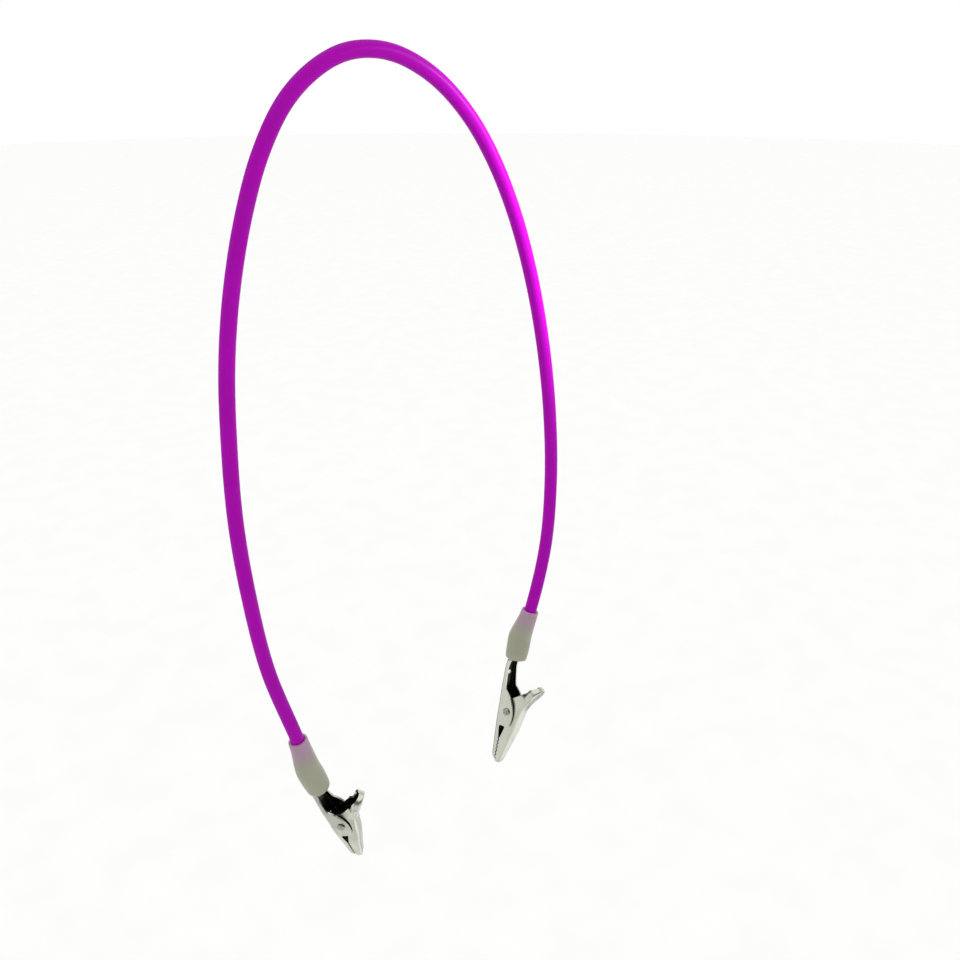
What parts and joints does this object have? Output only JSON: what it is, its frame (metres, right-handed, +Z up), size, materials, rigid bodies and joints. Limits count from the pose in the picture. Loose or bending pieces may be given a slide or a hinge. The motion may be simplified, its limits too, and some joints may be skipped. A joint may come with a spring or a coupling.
{
  "type": "alligator clip lead",
  "caption": "Flexible insulated lead hanging in an arch, with a sprung serrated clip and a soft translucent sleeve at each end; squeezing a paddle opens its jaw.",
  "frame": {"origin": "underside of the cord at its crown, where the support carries the lead", "axes": "+Z up, +X along the arch from clip A to clip B, -Y towards the side the lead is seen from"},
  "size_m": [0.0861, 0.0194, 0.1909],
  "materials": {
    "cord": "satin saturated purple silicone",
    "conductor": "bare stranded copper",
    "sleeve": "milky translucent soft silicone",
    "nickel": "bright nickel-plated stamped steel",
    "rivet": "nickel-plated rivet",
    "spring_wire": "bright spring wire"
  },
  "bodies": {
    "lead": {"cord_jacket": "cord", "conductor": "conductor", "sleeve_a": "sleeve", "tail_jaw_a": "nickel", "pivot_pin_a": "rivet", "torsion_spring_a": "spring_wire", "sleeve_b": "sleeve", "tail_jaw_b": "nickel", "pivot_pin_b": "rivet", "torsion_spring_b": "spring_wire"},
    "thumb_a": {"thumb_jaw_a": "nickel"},
    "thumb_b": {"thumb_jaw_b": "nickel"}
  },
  "joints": [
    {"name": "thumb_hinge_a", "type": "hinge", "parent": "lead", "child": "thumb_a", "pos_m": [-0.0191, -0.0068, -0.172], "axis": [-0.706, -0.6712, -0.2259], "range_deg": [0, 26], "stiffness_Nm_per_rad": 0.03, "springref_deg": -68.75, "deforming": ["torsion_spring_a"]},
    {"name": "thumb_hinge_b", "type": "hinge", "parent": "lead", "child": "thumb_b", "pos_m": [0.0317, -0.01, -0.1612], "axis": [-0.9305, -0.2097, 0.3004], "range_deg": [0, 26], "stiffness_Nm_per_rad": 0.03, "springref_deg": -68.75, "deforming": ["torsion_spring_b"]}
  ]
}
